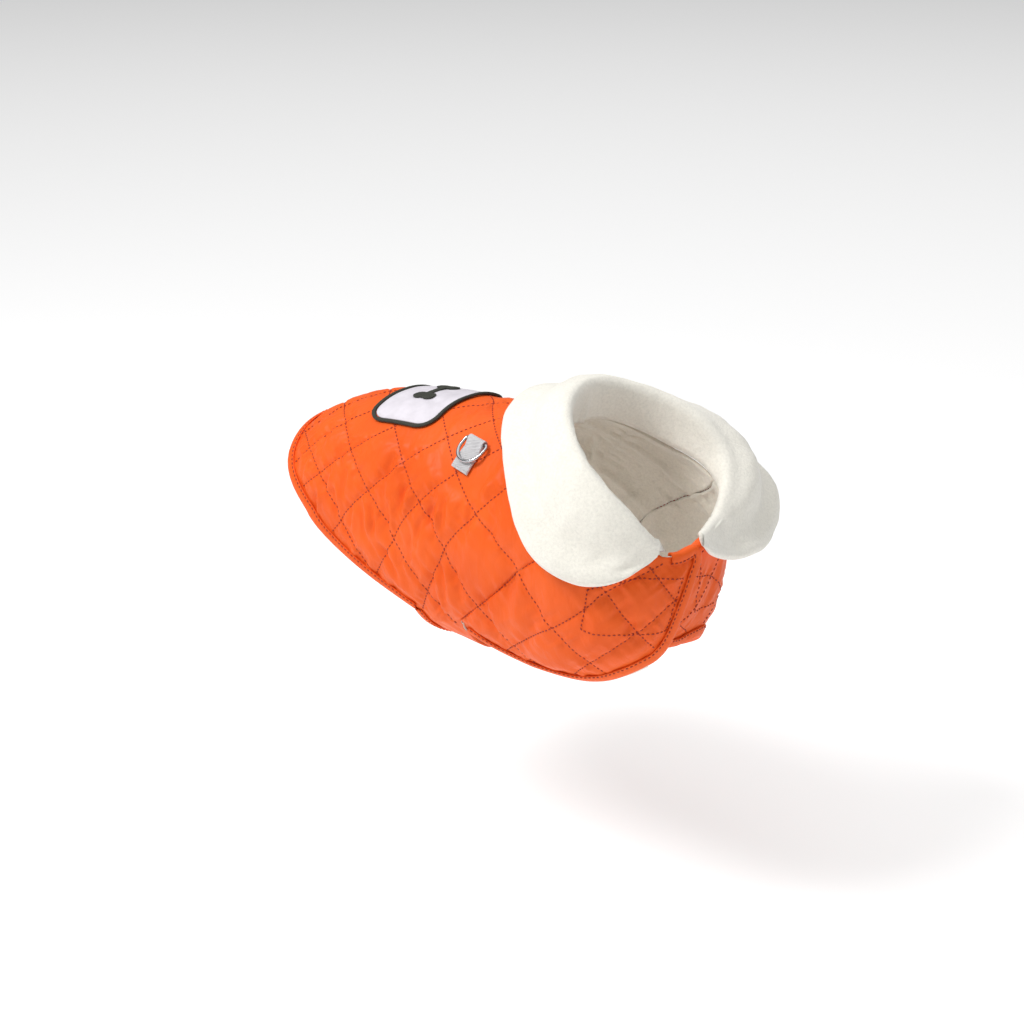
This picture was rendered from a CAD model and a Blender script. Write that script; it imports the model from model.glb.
# Dog winter coat, shown filled out as worn: quilted nylon shell, fleece turn-down collar,
# chest flaps that overlap at the front, belly strap, bound edges, badge and lead ring.
# Sizes are millimetres until a mesh is made, which is in metres.

import math

import bmesh
import bpy
import numpy as np
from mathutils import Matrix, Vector
from mathutils.geometry import delaunay_2d_cdt


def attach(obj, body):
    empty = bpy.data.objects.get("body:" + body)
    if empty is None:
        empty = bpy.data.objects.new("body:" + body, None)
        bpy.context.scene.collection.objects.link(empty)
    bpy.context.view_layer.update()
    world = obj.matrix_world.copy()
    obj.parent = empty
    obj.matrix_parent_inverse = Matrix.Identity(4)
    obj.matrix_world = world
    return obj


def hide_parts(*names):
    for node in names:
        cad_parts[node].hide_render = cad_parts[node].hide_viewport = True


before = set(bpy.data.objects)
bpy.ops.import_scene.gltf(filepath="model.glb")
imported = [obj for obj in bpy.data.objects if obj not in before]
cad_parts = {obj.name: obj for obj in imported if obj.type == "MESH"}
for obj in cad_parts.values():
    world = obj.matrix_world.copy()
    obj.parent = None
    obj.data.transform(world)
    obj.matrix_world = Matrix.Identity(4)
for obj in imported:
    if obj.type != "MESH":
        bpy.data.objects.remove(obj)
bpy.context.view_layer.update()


# Camera
# A long lens a little above the coat, ahead of its right flank, as in the photograph.

VIEW_TURN = math.radians(40)
VIEW_RISE = math.radians(20)
VIEW_DISTANCE = 1.3
VIEW_TARGET = Vector((-0.015, 0, -0.0659))
LENS = 73.125

view_back = Vector((
    math.sin(VIEW_TURN) * math.cos(VIEW_RISE),
    -math.cos(VIEW_TURN) * math.cos(VIEW_RISE),
    math.sin(VIEW_RISE),
))
camera = bpy.data.objects.new("camera", bpy.data.cameras.new("camera"))
camera.data.lens = LENS
camera.data.sensor_width = 36
camera.location = VIEW_TARGET + view_back * VIEW_DISTANCE
camera.rotation_euler = view_back.to_track_quat("Z", "Y").to_euler()
bpy.context.collection.objects.link(camera)
bpy.context.scene.camera = camera


# Shell: back panel
# Two layers of shiny nylon with thin filling between, quilted in diamonds. It is cut flat and
# lies on the worn form. Pattern points are (along the back, around from the spine): along runs
# to the head from the shoulders, around is positive to the wearer's left.

SHELL = 2.0
PUFF = 3.0
SEAM_EDGE = 0.02
MARGIN = 6.4
UNDER = -6.6
HALF_GIRTH = 215
SQUARENESS = 2.3
CHEST_DEPTH = 60
CHEST_POWER = 0.86
ORIGIN_DROP = 1.1

# along, top, half width, height
TORSO = np.array([
    (-190, -44, 46, 108), (-165, -28, 51, 122), (-135, -13.5, 55, 134), (-95, -4, 58, 144),
    (-50, 0, 60, 151), (0, 1, 62, 156), (60, 6, 65, 164), (140, 6, 65, 168),
])
# around, x, z
FRONT_LINE = np.array([
    (0, 95, 0), (40, 128, -25), (75, 131, -60), (100, 130, -88), (130, 121, -118),
    (165, 100, -148), (215, 60, -170),
])
STATIONS = np.array([0, 40, 80, 110, 150, 190])
# line, where it lies along the back at each station
LINES_DOWN_FORWARD = np.array([
    (-1, -245, -206, -174, -147, -112, -75), (0, -200, -166, -134, -107, -70, -32),
    (1, -156, -126, -94, -59, -19, 20), (2, -117, -82, -48, -13, 30, 66),
    (3, -71, -37, 1, 50, 87, 115), (4, -30, 8, 62, 112, 150, 180),
    (5, 2, 50, 118, 160, 192, 222), (6, 45, 100, 165, 205, 236, 266),
    (7, 90, 150, 212, 250, 280, 310), (8, 135, 195, 258, 296, 325, 355),
])
LINES_DOWN_BACK = np.array([
    (0, -200, -245, -300, -350, -400, -450), (1, -156, -200, -250, -300, -350, -400),
    (2, -117, -160, -212, -262, -312, -360), (3, -71, -118, -172, -222, -272, -320),
    (4, -30, -74, -126, -178, -225, -270), (5, 2, -31, -73, -111, -160, -205),
    (6, 45, 10, -32, -61, -92, -120), (7, 90, 52, 11, -20, -45, -70),
    (8, 135, 114, 92, 36, -16, -50), (9, 180, 162, 140, 92, 32, -5),
    (10, 225, 205, 178, 136, 78, 40), (11, 270, 250, 220, 180, 125, 85),
    (12, 315, 295, 262, 225, 172, 130), (13, 360, 340, 305, 270, 217, 175),
])
SHOULDER_SEAM = 8

HEM = [
    (-174, 0), (-174, 24), (-172, 48), (-169, 66), (-162, 82), (-150, 98),
    (-134, 112), (-112, 126), (-88, 139), (-64, 150), (-54, 155),
]
STRAP_REAR = -54
STRAP_FRONT = -9
STRAP_ROOT = 155
# neck seam from the wearer's right front over the nape to the spine
NECK = [
    (135, -79), (128, -78), (118, -76), (106, -73), (90, -68), (74, -61), (60, -52),
    (46, -38), (37, -20), (34, 0),
]


def ease_through(keys, values, x):
    """A smooth curve through the values, read at x. Rows of values give each x its own."""
    keys = np.asarray(keys, float)
    values = np.asarray(values, float)
    last = len(keys) - 1
    x = np.clip(np.asarray(x, float), keys[0], keys[last])
    i = np.clip(np.searchsorted(keys, x, side="right") - 1, 0, last - 1)
    before = np.maximum(np.arange(last + 1) - 1, 0)
    after = np.minimum(np.arange(last + 1) + 1, last)
    slopes = (values[..., after] - values[..., before]) / (keys[after] - keys[before])

    def pick(table, k):
        if table.ndim == 1:
            return table[k]
        return np.take_along_axis(table, k[:, None], 1)[:, 0]

    width = keys[i + 1] - keys[i]
    t = (x - keys[i]) / width
    rise = 3 * t**2 - 2 * t**3
    leave = (t**3 - 2 * t**2 + t) * width * pick(slopes, i)
    arrive = (t**3 - t**2) * width * pick(slopes, i + 1)
    return pick(values, i) * (1 - rise) + pick(values, i + 1) * rise + leave + arrive


def smooth(low, high, x):
    t = np.clip((x - low) / (high - low), 0, 1)
    return t * t * (3 - 2 * t)


def signed_power(x, power):
    return np.sign(x) * np.abs(x) ** power


def form_point(along, around):
    """The worn form under the pattern point, in millimetres."""
    along, around = np.broadcast_arrays(np.asarray(along, float), np.asarray(around, float))
    reach = np.abs(around)
    front_x = ease_through(FRONT_LINE[:, 0], FRONT_LINE[:, 1], reach)
    front_z = ease_through(FRONT_LINE[:, 0], FRONT_LINE[:, 2], reach)
    bend_start = front_x - CHEST_DEPTH
    station = np.minimum(along, bend_start)
    top, half, height = (ease_through(TORSO[:, 0], TORSO[:, k], station) for k in (1, 2, 3))
    turn = math.pi * reach / HALF_GIRTH
    wide = half * signed_power(np.sin(turn), 2 / SQUARENESS)
    high = top - height / 2 * (1 - signed_power(np.cos(turn), 2 / SQUARENESS))
    bend_length = math.pi / 4 * (CHEST_DEPTH + np.maximum(np.abs(wide), 5))
    bend = np.clip((along - bend_start) / bend_length, 0, 2) * math.pi / 2
    to_front = 1 - np.cos(np.minimum(bend, math.pi - bend))
    side = np.where(around < 0, -1, 1)
    return np.stack([
        station + CHEST_DEPTH * signed_power(np.sin(bend), CHEST_POWER),
        side * wide * signed_power(np.cos(bend), CHEST_POWER),
        high + (front_z - high) * to_front + ORIGIN_DROP,
    ], -1)


def form_normal(along, around, step=1.5):
    along = np.asarray(along, float)
    around = np.asarray(around, float)
    forward = form_point(along + step, around) - form_point(along - step, around)
    sideways = form_point(along, around + step) - form_point(along, around - step)
    normal = np.cross(forward, sideways)
    return normal / np.linalg.norm(normal, axis=-1, keepdims=True)


def place(along, around, out):
    """Pattern points, moved off the stitched level of the shell by out."""
    out = np.asarray(out, float)
    return form_point(along, around) + form_normal(along, around) * out[..., None]


def stitch_values(table, lines):
    lines = np.asarray(lines, float)
    return np.stack([ease_through(table[:, 0], table[:, k + 1], lines) for k in range(6)], -1)


def line_along(values, around):
    slope = (values[:, -1] - values[:, -2]) / (STATIONS[-1] - STATIONS[-2])
    past = np.maximum(around - STATIONS[-1], 0)
    return ease_through(STATIONS, values, around) + slope * past


def crossings(forward, back):
    """Where line n of one family meets line m of the other: (along, around from the spine)."""
    ahead = stitch_values(LINES_DOWN_FORWARD, forward)
    behind = stitch_values(LINES_DOWN_BACK, back)
    low = np.zeros(len(ahead))
    high = np.full(len(ahead), 3.0 * HALF_GIRTH)
    for _ in range(26):
        middle = (low + high) / 2
        under = line_along(ahead, middle) < line_along(behind, middle)
        low = np.where(under, middle, low)
        high = np.where(under, high, middle)
    around = np.where(np.abs(np.asarray(forward) - back) < 1e-6, 0, (low + high) / 2)
    return line_along(ahead, around), around


def through(points, spacing):
    """Even points on a centripetal curve through the given ones."""
    p = np.asarray(points, float)
    p = np.vstack([2 * p[0] - p[1], p, 2 * p[-1] - p[-2]])
    dense = []
    for k in range(1, len(p) - 2):
        a, b, c, d = p[k - 1:k + 3]
        ta, tb, tc = (np.linalg.norm(v) ** 0.5 for v in (b - a, c - b, d - c))
        leave = ((b - a) / ta - (c - a) / (ta + tb) + (c - b) / tb) * tb
        arrive = ((c - b) / tb - (d - b) / (tb + tc) + (d - c) / tc) * tb
        t = np.linspace(0, 1, 24, endpoint=False)[:, None]
        rise = 3 * t**2 - 2 * t**3
        dense.append(b * (1 - rise) + c * rise + (t**3 - 2 * t**2 + t) * leave + (t**3 - t**2) * arrive)
    dense = np.vstack(dense + [p[-2:-1]])
    return resampled(dense, spacing)


def resampled(run, spacing):
    run = np.asarray(run, float)
    steps = np.linalg.norm(np.diff(run, axis=0), axis=1)
    length = np.concatenate([[0], np.cumsum(steps)])
    count = max(2, round(length[-1] / spacing))
    at = np.linspace(0, length[-1], count + 1)
    return np.stack([np.interp(at, length, run[:, k]) for k in range(run.shape[1])], -1)


def mirrored(run):
    return np.asarray(run, float) * (1, -1)


def inset(run, distance):
    """Moves a run to its left: into the piece, because outlines run anticlockwise."""
    ahead = np.vstack([run[1:], run[-1:]]) - np.vstack([run[:1], run[:-1]])
    ahead /= np.linalg.norm(ahead, axis=1, keepdims=True)
    distance = np.broadcast_to(np.asarray(distance, float), len(run))[:, None]
    return run + np.stack([-ahead[:, 1], ahead[:, 0]], -1) * distance


def distance_to_run(run, points):
    run = np.asarray(run, float)
    best = np.full(len(points), np.inf)
    for a, b in zip(run[:-1], run[1:]):
        side = b - a
        t = np.clip(((points - a) @ side) / (side @ side), 0, 1)
        best = np.minimum(best, np.linalg.norm(points - a - t[:, None] * side, axis=1))
    return best


def inside(outline, points):
    x, y = points[:, 0], points[:, 1]
    crossed = np.zeros(len(points), bool)
    for (ax, ay), (bx, by) in zip(outline, np.roll(outline, -1, axis=0)):
        spans = (ay > y) != (by > y)
        with np.errstate(divide="ignore", invalid="ignore"):
            crossed ^= spans & (x < (bx - ax) * (y - ay) / (by - ay) + ax)
    return crossed


def ring_outline(runs, insets):
    """One outline from runs that meet end to end, each edge moved in by its own distance."""
    points = np.vstack([run[:-1] for run in runs])
    edges = np.concatenate([np.full(len(run) - 1, d) for run, d in zip(runs, insets)])
    side = np.roll(points, -1, axis=0) - points
    side /= np.linalg.norm(side, axis=1, keepdims=True)
    left = np.stack([-side[:, 1], side[:, 0]], -1)
    before = np.roll(left, 1, axis=0)
    d_before = np.roll(edges, 1)
    dot = np.sum(left * before, axis=1)
    spread = np.maximum(1 - dot**2, 0.02)
    a = (d_before - edges * dot) / spread
    b = (edges - d_before * dot) / spread
    mitre = before * a[:, None] + left * b[:, None]
    even = (before * d_before[:, None] + left * edges[:, None]) / (1 + dot)[:, None]
    return points + np.where((dot > 0.9)[:, None], even, mitre)


def new_mesh(name, points, faces, smooth_faces=True):
    """A mesh object from millimetre points."""
    mesh = bpy.data.meshes.new(name)
    mesh.from_pydata((np.asarray(points, float) * 0.001).tolist(), [], faces)
    mesh.update()
    mesh.polygons.foreach_set("use_smooth", [smooth_faces] * len(mesh.polygons))
    piece = bpy.data.objects.new(name, mesh)
    bpy.context.collection.objects.link(piece)
    return piece


def cut_sheet(outline, fill, spacing=2.0):
    """Triangles of the flat cut: the net's points inside the outline, joined to its edge."""
    edge = []
    for a, b in zip(outline, np.roll(outline, -1, axis=0)):
        count = max(1, math.ceil(np.linalg.norm(b - a) / spacing))
        edge.extend(a + (b - a) * k / count for k in range(count))
    edge = np.array(edge)
    keep = inside(edge, fill)
    fill = fill[keep]
    fill = fill[distance_to_run(np.vstack([edge, edge[:1]]), fill) > 0.6]
    points = [Vector(p) for p in np.vstack([edge, fill])]
    loop = list(range(len(edge)))
    flat, _, faces, *_ = delaunay_2d_cdt(points, [], [loop], 1, 1e-4)
    return np.array([(p.x, p.y) for p in flat]), [tuple(f) for f in faces]


NET = 22


def quilt_net(rows, columns, side):
    """Points along both families of stitch lines, close enough for the creases between."""
    i = np.arange(round(rows[0] * NET), round(rows[1] * NET) + 1) / NET
    j = np.arange(round(columns[0] * NET), round(columns[1] * NET) + 1) / NET
    forward, back = (a.ravel() for a in np.meshgrid(i, j, indexing="ij"))
    keep = back >= forward - 1e-9
    along, around = crossings(forward[keep], back[keep])
    return np.stack([along, side * around], -1)


def line_numbers(points):
    """Which stitch lines pass through each pattern point, as two running numbers."""
    around = np.abs(points[:, 1])
    numbers = []
    for table in (LINES_DOWN_FORWARD, LINES_DOWN_BACK):
        lines = np.arange(table[0, 0], table[-1, 0] + 0.01, 0.25)
        values = stitch_values(table, lines)
        low = np.zeros(len(points))
        high = np.full(len(points), float(len(lines) - 1))
        for _ in range(14):
            middle = (low + high) / 2
            k = np.clip(middle.astype(int), 0, len(lines) - 2)
            part = (middle - k)[:, None]
            row = values[k] * (1 - part) + values[k + 1] * part
            under = line_along(row, around) < points[:, 0]
            low = np.where(under, middle, low)
            high = np.where(under, high, middle)
        numbers.append(lines[0] + 0.25 * (low + high) / 2)
    return numbers


def wave(x, seed, count=5, lowest=0.7, highest=2.2):
    """A smooth uneven wave along x, about one high."""
    rng = np.random.default_rng(seed)
    total = np.zeros_like(x)
    for _ in range(count):
        total += np.sin(x * rng.uniform(lowest, highest) * 2 * math.pi + rng.uniform(0, 6.28))
    return total / math.sqrt(count)


# Creases seen on the right flank and chest, and like ones on the hidden left side.
# along, around at the top; along, around at the bottom; width; depth of the trough, as a
# share of CREASE_DEPTH
CREASES = [
    (-131, -94, -136, -108, 2.2, 0.7), (-120, -80, -127, -95, 2.6, 0.8),
    (-116, -90, -112, -108, 2.4, 0.9), (-118, -62, -110, -78, 3.0, 0.5),
    (-105, -78, -106, -96, 2.6, 0.7), (-91, -95, -85, -112, 2.8, 0.9),
    (-98, -100, -99, -112, 2.0, 0.6), (-80, -96, -77, -113, 2.4, 0.8),
    (-70, -84, -69, -101, 2.6, 0.7), (-68, -62, -73, -82, 3.4, 0.9),
    (-57, -75, -54, -94, 2.6, 0.7), (-65, -90, -67, -110, 2.2, 0.8),
    (-52, -75, -58, -100, 3.2, 1.0), (-37, -95, -42, -113, 2.6, 0.8),
    (-44, -102, -48, -120, 2.2, 0.7), (-29, -88, -26, -108, 3.2, 0.8),
    (-19, -78, -19, -98, 3.0, 0.8), (-26, -82, -36, -104, 3.6, 1.0),
    (-6, -77, -6, -93, 2.6, 0.6), (3, -82, -3, -102, 3.4, 0.8),
    (2, -52, 6, -78, 3.4, 0.9), (-76, -113, -58, -132, 3.0, 0.8),
    (-88, -108, -74, -124, 2.6, 0.7), (-108, -109, -92, -122, 2.2, 0.7),
    (-58, -117, -49, -136, 3.0, 0.7), (-21, -109, -19, -137, 3.2, 0.9),
    (-29, -119, -27, -145, 2.8, 0.8), (-10, -112, -3, -132, 3.2, 0.7),
    (-73, -35, -69, -56, 3.0, 0.6), (-62, -37, -58, -64, 3.4, 0.7),
    (-125, -28, -124, -48, 3.4, 0.5), (-57, 10, -48, -18, 3.0, 0.5),
    (-36, -4, -31, -24, 3.0, 0.6), (-138, -42, -133, -70, 3.6, 0.6),
    (-146, -70, -150, -86, 2.6, 0.6), (-92, -22, -94, -44, 3.6, 0.6),
    (24, -70, 18, -100, 4.2, 0.7), (40, -100, 30, -130, 4.6, 0.7),
    (60, -112, 46, -138, 4.4, 0.6), (10, -116, 20, -148, 3.6, 0.8),
    (92, -112, 78, -134, 4.0, 0.6), (112, -98, 120, -124, 3.6, 0.6),
    (28, -28, 12, -44, 3.0, 0.9), (30, -14, 8, -30, 2.8, 0.8), (26, 12, 6, 26, 3.0, 0.8),
    (-128, 92, -134, 106, 2.4, 0.7), (-117, 78, -124, 98, 2.8, 0.8),
    (-104, 86, -100, 108, 2.6, 0.8), (-112, 56, -108, 76, 3.2, 0.6),
    (-90, 90, -84, 112, 2.8, 0.9), (-80, 68, -82, 92, 3.0, 0.7),
    (-66, 60, -72, 84, 3.4, 0.9), (-55, 84, -52, 108, 2.8, 0.8),
    (-64, 108, -52, 130, 3.0, 0.8), (-40, 90, -46, 116, 3.0, 0.8),
    (-30, 70, -36, 98, 3.4, 0.9), (-18, 84, -20, 110, 3.0, 0.8),
    (-8, 60, -10, 88, 3.4, 0.7), (-24, 116, -20, 142, 3.0, 0.8),
    (2, 100, 8, 130, 3.4, 0.8), (14, 62, 8, 92, 3.8, 0.8), (-94, 28, -96, 52, 3.4, 0.6),
    (-130, 34, -128, 58, 3.4, 0.5), (-42, 28, -36, 52, 3.2, 0.6),
    (32, 96, 24, 128, 4.4, 0.7), (54, 108, 44, 140, 4.6, 0.7), (78, 112, 70, 142, 4.2, 0.7),
    (100, 104, 96, 134, 4.0, 0.7), (124, 92, 118, 124, 4.0, 0.7), (140, 96, 150, 122, 3.4, 0.8),
    (152, 92, 172, 112, 3.2, 0.7), (-150, 66, -154, 84, 2.6, 0.6),
]


CREASE_DEPTH = 2.3


def creases(points):
    """Height that the soft troughs, each with a ridge beside it, add to a panel."""
    total = np.zeros(len(points))
    for a0, r0, a1, r1, width, depth in CREASES:
        start = np.array([a0, r0], float)
        run = np.array([a1, r1], float) - start
        length = np.linalg.norm(run)
        run /= length
        offset = points - start
        t = (offset @ run) / length
        bow = 0.06 * length * np.sin(math.pi * np.clip(t, 0, 1))
        d = offset @ np.array([-run[1], run[0]]) - bow
        fade = smooth(-0.12, 0.3, t) * smooth(1.15, 0.6, t)
        trough = -np.exp(-(d / width) ** 2)
        ridge = 0.6 * np.exp(-((d - 1.7 * width) / width) ** 2)
        total += depth * fade * (trough + ridge)
    return CREASE_DEPTH * total


def quilting(points):
    """Height of the puffed diamonds and of the puckers that the stitches draw in."""
    forward, back = line_numbers(points)
    across = np.abs(np.sin(math.pi * forward) * np.sin(math.pi * back))
    fullness = 1 + 0.1 * wave(np.round(forward) + 0.37 * np.round(back), 3)
    puff = PUFF * across**0.5 * np.clip(fullness, 0.8, 1.12)
    pucker = np.zeros(len(points))
    for here, other, seed in ((forward, back, 11), (back, forward, 12)):
        off = np.abs(here - np.round(here))
        line = np.round(here)
        pucker += np.exp(-off / 0.16) * (1 - np.exp(-off / 0.03)) * wave(other * 3.2 + line * 5.7, seed)
    flat_top = 0.45 + 0.55 * smooth(22, 65, np.abs(points[:, 1]))
    return puff * flat_top, pucker * 0.9


def ripples(points, seed):
    """Small uneven ripples of loose cloth, longer round the girth than along it."""
    rng = np.random.default_rng(seed)
    total = np.zeros(len(points))
    for _ in range(14):
        turn = rng.normal(0, 0.45)
        size = rng.uniform(5, 16)
        direction = np.array([math.cos(turn), math.sin(turn)])
        total += size / 16 * np.sin((points @ direction) / size * 2 * math.pi + rng.uniform(0, 6.28))
    return total / math.sqrt(14)


hem_right = through(mirrored(HEM), 8.5)
hem_left = mirrored(hem_right)
hem_all = np.vstack([hem_left[::-1], hem_right[1:]])
neck_right = through(NECK, 4)
neck_all = np.vstack([neck_right, mirrored(neck_right)[-2::-1]])
seam_values = stitch_values(LINES_DOWN_BACK, [SHOULDER_SEAM])


def seam_along(around):
    around = np.abs(np.asarray(around, float))
    return line_along(np.repeat(seam_values, len(around), 0), around)


seam_meets = int(np.argmax(neck_right[:, 0] < seam_along(neck_right[:, 1])))
seam_top = neck_right[seam_meets]
seam_reach = np.arange(STRAP_ROOT, -seam_top[1] + 3, -3.5)
seam_bend = smooth(140, STRAP_ROOT, seam_reach)
seam_right = np.vstack([
    np.stack([seam_along(seam_reach) * (1 - seam_bend) + STRAP_FRONT * seam_bend, -seam_reach], -1),
    seam_top,
])
neck_back = neck_all[seam_meets:len(neck_all) - seam_meets]
neck_front = neck_right[:seam_meets + 1]

BADGE = {"rear": -102, "front": -52, "half": 39, "corner": 11, "low": 0.6, "high": 1.8}
TAB_AT = np.array([-10.5, -51])


def badge_calm(points):
    middle = (BADGE["rear"] + BADGE["front"]) / 2
    ends = np.abs(points[:, 0] - middle) - (BADGE["front"] - BADGE["rear"]) / 2
    sides = np.abs(points[:, 1]) - BADGE["half"]
    return smooth(10, 19, np.maximum(ends, sides))


def tab_calm(points):
    return smooth(22, 30, np.linalg.norm(points - TAB_AT, axis=1))


def new_material(name, values):
    """A material whose shader has these values, and the place on the piece that patterns read."""
    material = bpy.data.materials.new(name)
    material.use_nodes = True
    shader = material.node_tree.nodes["Principled BSDF"]
    for socket, value in values.items():
        shader.inputs[socket].default_value = value
    place_in = material.node_tree.nodes.new("ShaderNodeTexCoord").outputs["Object"]
    return material, shader, place_in


def add_node(material, kind, values, feeds):
    """Adds a node with these values, fed by the outputs of others."""
    node = material.node_tree.nodes.new(kind)
    for socket, value in values.items():
        node.inputs[socket].default_value = value
    for socket, source in feeds.items():
        material.node_tree.links.new(source, node.inputs[socket])
    return node


def noise(material, place_in, scale, detail=2, **more):
    values = {"Scale": scale, "Detail": detail, **more}
    return add_node(material, "ShaderNodeTexNoise", values, {"Vector": place_in}).outputs["Fac"]


def dye(material, shader, pattern, low, high):
    """Colours the shader from a pattern. Low and high are (position on the ramp, colour)."""
    ramp = add_node(material, "ShaderNodeValToRGB", {}, {"Fac": pattern})
    for stop, (position, colour) in zip(ramp.color_ramp.elements, (low, high)):
        stop.position = position
        stop.color = (*colour, 1)
    material.node_tree.links.new(ramp.outputs["Color"], shader.inputs["Base Color"])


def relief(material, height, strength, distance, under=None):
    """Fine relief from a pattern, laid over another relief where one is given."""
    feeds = {"Height": height} if under is None else {"Height": height, "Normal": under}
    values = {"Strength": strength, "Distance": distance}
    return add_node(material, "ShaderNodeBump", values, feeds).outputs["Normal"]


def nylon_material():
    """Shiny dyed nylon: satin gloss, fine random wrinkles and a close plain weave."""
    material, shader, place_in = new_material(
        "orange_nylon", {"Roughness": 0.45, "Specular IOR Level": 0.16},
    )
    cloud = noise(material, place_in, 26, 3)
    dye(material, shader, cloud, (0.3, (0.82, 0.108, 0.014)), (0.7, (0.91, 0.134, 0.019)))
    stretch = add_node(
        material, "ShaderNodeMapping", {"Scale": (1, 0.55, 0.4)}, {"Vector": place_in},
    )
    wrinkle = noise(material, stretch.outputs["Vector"], 210, 4, Distortion=0.6)
    fine = relief(material, noise(material, place_in, 2600, 1), 0.12, 0.0002)
    soft = relief(material, wrinkle, 0.55, 0.0011, fine)
    material.node_tree.links.new(soft, shader.inputs["Normal"])
    return material


def fleece_material(name, colour):
    """Short brushed pile: matt, with a soft sheen and a fine uneven nap."""
    material, shader, place_in = new_material(name, {
        "Roughness": 0.95, "Specular IOR Level": 0.15, "Sheen Weight": 0.45, "Sheen Roughness": 0.6,
    })
    tuft = noise(material, place_in, 620, 4, Roughness=0.7)
    dye(material, shader, tuft, (0.25, tuple(c * 0.86 for c in colour)), (0.6, colour))
    broad = relief(material, noise(material, place_in, 170), 0.35, 0.0012)
    nap = relief(material, tuft, 0.6, 0.0008, broad)
    material.node_tree.links.new(nap, shader.inputs["Normal"])
    return material


nylon = nylon_material()
lining = fleece_material("fleece_lining", (0.80, 0.76, 0.66))


def shell_panel(node, outline, net, height):
    """A quilted panel on its form, lined with fleece, in place of its CAD solid."""
    flat, faces = cut_sheet(outline, net)
    piece = new_mesh(node + "_cloth", place(flat[:, 0], flat[:, 1], height(flat)), faces)
    piece.data.materials.append(nylon)
    piece.data.materials.append(lining)
    wall = piece.modifiers.new("lined wall", "SOLIDIFY")
    wall.thickness = SHELL * 0.001
    wall.offset = -1
    wall.material_offset = 1
    wall.material_offset_rim = 0 if node.startswith("belly") else 1
    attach(piece, "coat")
    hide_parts(node)
    return piece


def back_height(points):
    puff, pucker = quilting(points)
    hem = smooth(MARGIN - 2, 17, distance_to_run(hem_all, points))
    neck = smooth(0, 12, distance_to_run(neck_back, points))
    calm = badge_calm(points) * tab_calm(points)
    loose = hem * neck * calm
    edge = smooth(0.5, 6, distance_to_run(hem_all, points))
    return puff * loose + (pucker + creases(points) + 0.22 * ripples(points, 5)) * calm * edge * neck


strap_right = resampled([(STRAP_REAR, -STRAP_ROOT), (STRAP_FRONT, -STRAP_ROOT)], 8)
back_outline = ring_outline(
    [seam_right, neck_back, mirrored(seam_right)[::-1], mirrored(strap_right)[::-1], hem_all, strap_right],
    [SEAM_EDGE, 0.3, SEAM_EDGE, SEAM_EDGE, 1.0, SEAM_EDGE],
)
back_net = np.vstack([quilt_net((-1, 6), (0, 9), side) for side in (-1, 1)])
back_net = back_net[(back_net[:, 1] != 0) | (np.arange(len(back_net)) < len(back_net) / 2)]
back_panel = shell_panel("back_panel", back_outline, back_net, back_height)


# Chest flaps
# Two more pieces of the same quilting, joined to the back at the shoulder seams. The right one
# lies over the left one and is held to it by tape, stitched on in a rectangle.

CHEST_HEM = [
    (-9, 155), (8, 163), (28, 168), (48, 170), (64, 169), (84, 162),
    (104, 152), (120, 144), (130, 139),
]
FLAP_FRONT = [(139, 132), (147, 122), (153, 111), (158, 99), (161, 86), (162, 76)]
FLAP_NECK = [(157, 70), (146, 76), (135, 79)]
UNDER_HEM = [(150, 137), (172, 135), (194, 131)]
UNDER_FRONT = [(204, 124), (208, 110), (205, 97)]
UNDER_NECK = [(196, 88), (180, 79), (163, 72), (148, 75), (135, 79)]

flap_edge_right = through(mirrored(CHEST_HEM + FLAP_FRONT + FLAP_NECK), 3)
flap_edge_left = through(CHEST_HEM + UNDER_HEM + UNDER_FRONT + UNDER_NECK, 3)[::-1]


def flat_level(points):
    return np.zeros(len(points))


def under_level(points):
    return UNDER * smooth(120, 155, points[:, 0])


def flap_height(edge, neck, level, tucked):
    def height(points):
        puff, pucker = quilting(points)
        hem = smooth(MARGIN - 2, 16, distance_to_run(edge, points))
        collar = smooth(0, 12, distance_to_run(neck, points))
        free = 1 - tucked * smooth(112, 132, points[:, 0])
        border = smooth(0.5, 6, distance_to_run(edge, points))
        small = (pucker + creases(points) + 0.22 * ripples(points, 6)) * border * collar
        return level(points) + puff * hem * collar * free + small * (1 - 0.5 * tucked * (1 - free))
    return height


flap_right_outline = ring_outline(
    [seam_right[::-1], flap_edge_right, neck_front], [SEAM_EDGE, 1.0, 0.3],
)
flap_left_outline = ring_outline(
    [mirrored(neck_front)[::-1], flap_edge_left, mirrored(seam_right)], [0.3, 1.0, SEAM_EDGE],
)
chest_flap_right = shell_panel(
    "chest_flap_right", flap_right_outline, quilt_net((0.5, 6), (7, 12), -1),
    flap_height(flap_edge_right, neck_front, flat_level, 0),
)
chest_flap_left = shell_panel(
    "chest_flap_left", flap_left_outline, quilt_net((0.5, 7), (7, 12.5), 1),
    flap_height(flap_edge_left, mirrored(neck_front), under_level, 1),
)


# Belly strap
# Two plain halves of the shell cloth that meet under the belly, held by black tape.

STRAP_END = {"right": 209, "left": 284}
STRAP_BOUND = 155.6
PAD_BELLY = {"rear": -44, "front": -8.6, "from": 159, "to": 192}


def strap_run(side):
    end = STRAP_END["right"] if side < 0 else STRAP_END["left"]
    run = [
        (STRAP_REAR, STRAP_BOUND), (-52, end - 26), (-49, end - 10), (-42, end - 2), (-31, end),
        (-20, end - 2), (-13, end - 10), (-10, end - 26), (STRAP_FRONT, STRAP_BOUND),
    ]
    return through(mirrored(run), 2) if side < 0 else through(run[::-1], 2)


def strap_level(side):
    if side < 0:
        return flat_level
    return lambda points: UNDER * smooth(172, 210, points[:, 1])


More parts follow.
